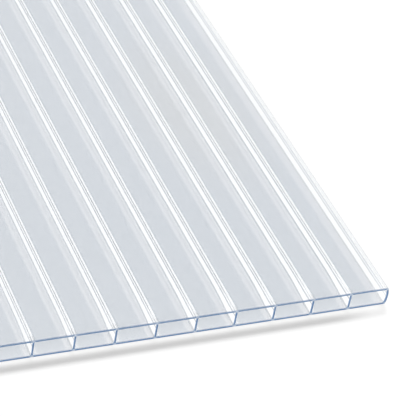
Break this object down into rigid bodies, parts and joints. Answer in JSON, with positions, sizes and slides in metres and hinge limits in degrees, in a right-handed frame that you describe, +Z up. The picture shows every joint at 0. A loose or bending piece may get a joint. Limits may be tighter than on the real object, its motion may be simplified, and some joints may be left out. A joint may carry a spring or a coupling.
{
  "type": "twin-wall polycarbonate sheet",
  "caption": "Clear twin-wall glazing sheet: two flat skins joined by upright ribs into open-ended chambers, closed by a bowed wall along each long edge.",
  "frame": {"origin": "the middle of the underside, on the floor that the sheet lies on", "axes": "+Y along the ribs, +X across them, +Z up through the thickness"},
  "size_m": [0.98, 2, 0.016],
  "materials": {
    "clear_polycarbonate": "gloss"
  },
  "bodies": {
    "root": {"twinwall_sheet": "clear_polycarbonate"}
  },
  "joints": []
}
